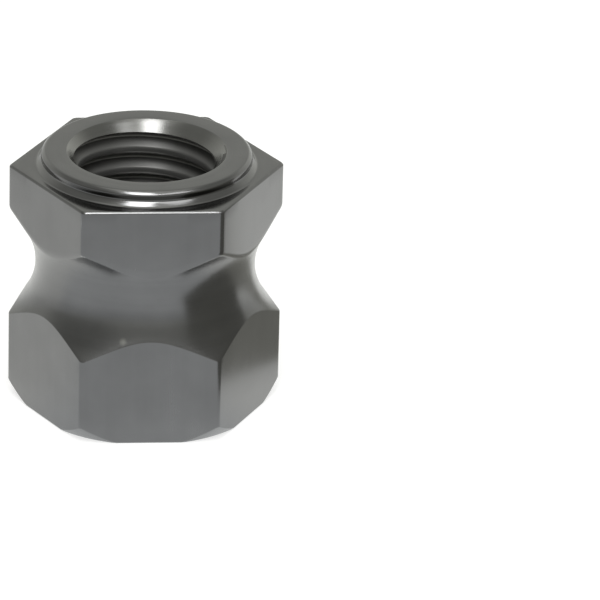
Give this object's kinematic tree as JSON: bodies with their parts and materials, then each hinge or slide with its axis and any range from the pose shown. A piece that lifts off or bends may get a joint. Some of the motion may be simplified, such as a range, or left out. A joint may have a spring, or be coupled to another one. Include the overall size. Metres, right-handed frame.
{
  "type": "clutch nut",
  "caption": "Tall hexagon clutch nut with a round waist groove, a raised countersunk collar at one end, a counterbored seat face at the other and a threaded hole right through.",
  "frame": {"origin": "centre of the counterbored seat face, on the axis of the bore", "axes": "+Z along the bore from the seat face to the collar, +X to a corner of the hexagon"},
  "size_m": [0.024, 0.021, 0.0235],
  "materials": {
    "nut_steel": "fine turned and drawn satin"
  },
  "bodies": {
    "root": {"clutch_nut": "nut_steel"}
  },
  "joints": []
}
